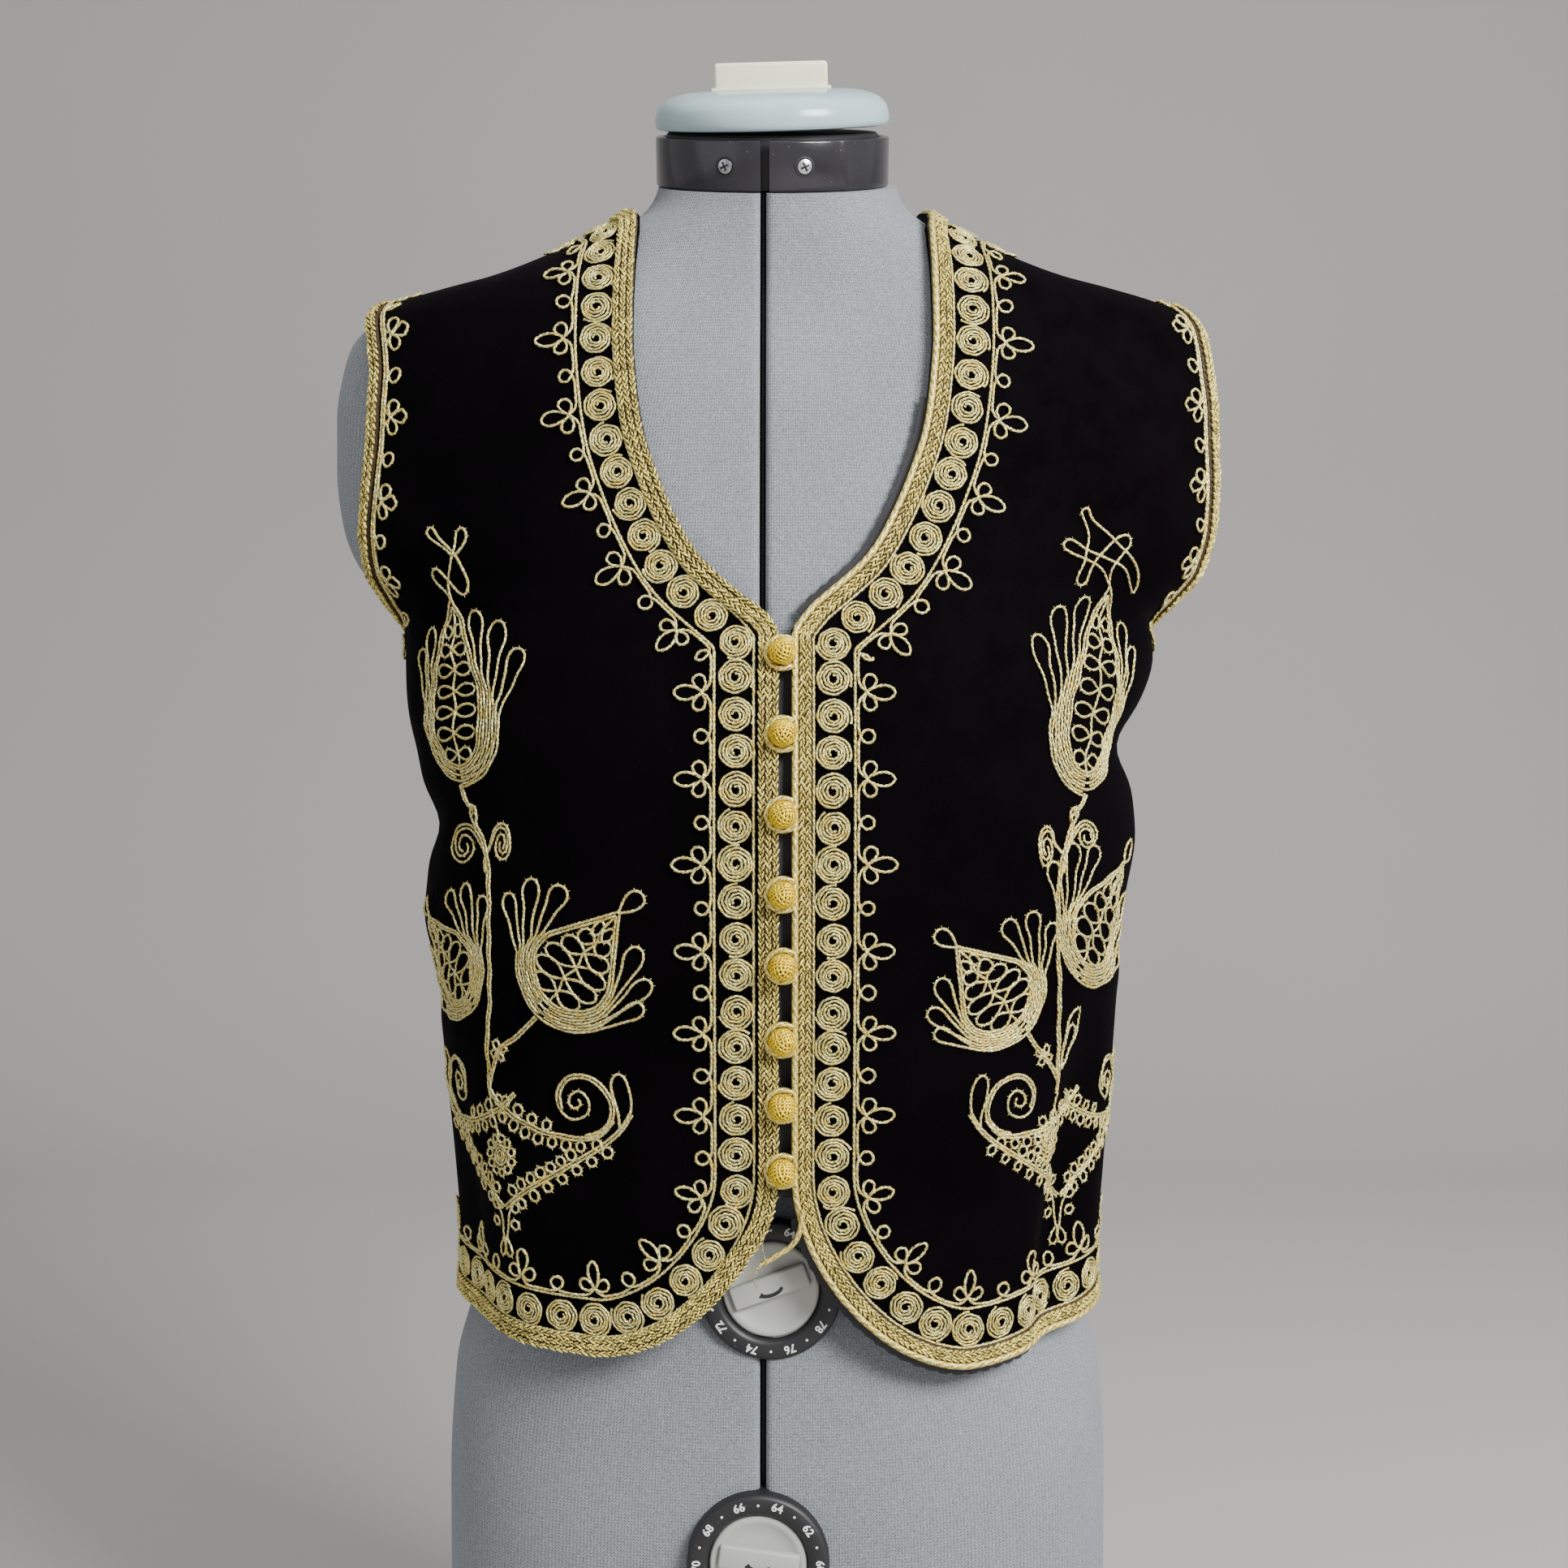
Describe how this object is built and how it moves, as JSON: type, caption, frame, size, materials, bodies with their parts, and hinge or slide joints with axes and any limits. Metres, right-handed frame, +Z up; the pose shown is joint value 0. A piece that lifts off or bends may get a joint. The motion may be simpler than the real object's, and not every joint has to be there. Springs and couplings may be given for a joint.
{
  "type": "embroidered velvet vest on a dress form",
  "caption": "Sleeveless black velvet vest, edged with gold braid and coiled-cord rosettes and closed by ball buttons and loops, worn by a limbless adjustable dress form on a round plinth.",
  "frame": {"origin": "centre of the plinth's underside, on the floor", "axes": "+Z up; the vest's closure faces -Y; +X is the wearer's left"},
  "size_m": [0.406, 0.31, 0.8503],
  "materials": {
    "velvet": "black cotton velvet, matt with a faint blue sheen at grazing angles",
    "lining": "black satin lining",
    "gold_braid": "plaited metallic gold braid",
    "gold_cord": "couched pale gold cord",
    "button_thread": "wound yellow-gold thread",
    "form_jersey": "grey foam-backed jersey",
    "form_frame": "black moulded plastic",
    "collar_plastic": "dark grey gloss plastic",
    "cap_plastic": "pale blue-green gloss plastic",
    "ivory_plastic": "cream plastic",
    "dial_ring": "near-black plastic with pale marks",
    "dial_hub": "pale grey-cream plastic",
    "steel": "plated screw head",
    "stand_metal": "dark grey powder coat"
  },
  "bodies": {
    "root": {"front_right": "velvet", "front_left": "velvet", "back": "velvet", "front_underlap": "lining", "lining_edge_hem": "lining", "lining_edge_neck": "lining", "edge_braid_right": "gold_braid", "edge_braid_left": "gold_braid", "arm_braid_right": "gold_braid", "arm_braid_left": "gold_braid", "rosettes_right": "gold_cord", "rosettes_left": "gold_cord", "button_1": "button_thread", "button_2": "button_thread", "button_3": "button_thread", "button_4": "button_thread", "button_5": "button_thread", "button_6": "button_thread", "button_7": "button_thread", "button_8": "button_thread", "button_loop_1": "gold_braid", "button_loop_2": "gold_braid", "button_loop_3": "gold_braid", "button_loop_4": "gold_braid", "button_loop_5": "gold_braid", "button_loop_6": "gold_braid", "button_loop_7": "gold_braid", "button_loop_8": "gold_braid", "tail_loop": "gold_braid", "form_right": "form_jersey", "form_left": "form_jersey", "form_core": "form_frame", "waist_dial_ring": "dial_ring", "waist_dial_hub": "dial_hub", "hip_dial_ring": "dial_ring", "hip_dial_hub": "dial_hub", "collar_right": "collar_plastic", "collar_left": "collar_plastic", "collar_right_screw": "steel", "collar_left_screw": "steel", "neck_core": "form_frame", "neck_cap": "cap_plastic", "cap_handle": "ivory_plastic", "pole": "stand_metal", "plinth": "stand_metal"}
  },
  "joints": []
}
